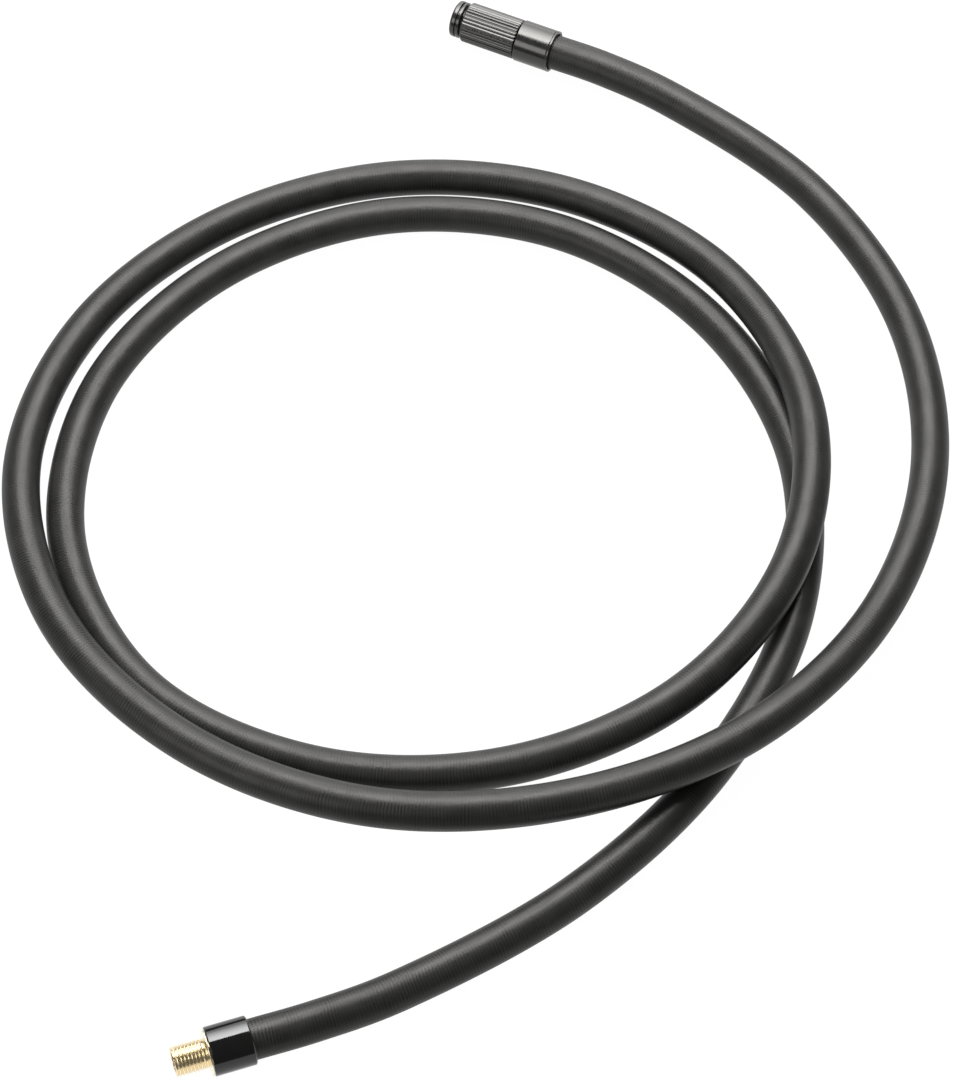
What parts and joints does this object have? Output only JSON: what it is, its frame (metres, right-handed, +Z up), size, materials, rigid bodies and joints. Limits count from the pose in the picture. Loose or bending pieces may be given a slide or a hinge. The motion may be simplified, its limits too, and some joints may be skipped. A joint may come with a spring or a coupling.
{
  "type": "supply hose",
  "caption": "Flexible black rubber supply hose lying in loose turns, with a brass male-threaded stem at one end and a spinning ribbed coupling at the other.",
  "frame": {"origin": "on the surface that the hose lies on, under the middle of the whole assembly's box", "axes": "+Z up; the coupling's axis runs along X and its tip points to -X; +Y is the longest way across the coiled hose, with the coupling on the +Y side"},
  "size_m": [0.2881, 0.3979, 0.0246],
  "materials": {
    "hose_rubber": "satin black rubber with faint marks across it, about 1 mm apart, from the wrap that it was cured in",
    "braid_textile": "plain off-white textile yarn",
    "liner_rubber": "smooth black rubber",
    "black_satin_metal": "satin black plated metal",
    "black_gloss_metal": "gloss black plated metal",
    "brass": "bright machined brass",
    "spring_steel": "bright spring steel",
    "seal_rubber": "matt black sealing rubber"
  },
  "bodies": {
    "hose": {"hose_cover": "hose_rubber", "hose_braid": "braid_textile", "hose_liner": "liner_rubber", "coupling_ferrule": "black_satin_metal", "coupling_tail": "black_satin_metal", "swivel_o_ring": "seal_rubber", "thread_ferrule": "black_gloss_metal", "threaded_stem": "brass"},
    "coupling": {"coupling_body": "black_satin_metal", "grip_sleeve": "black_satin_metal", "retaining_ring": "spring_steel", "face_seal": "seal_rubber"}
  },
  "joints": [
    {"name": "coupling_spin", "type": "hinge", "parent": "hose", "child": "coupling", "pos_m": [-0.06915, 0.192, 0.0073], "axis": [-1, 0, 0], "continuous": true}
  ]
}
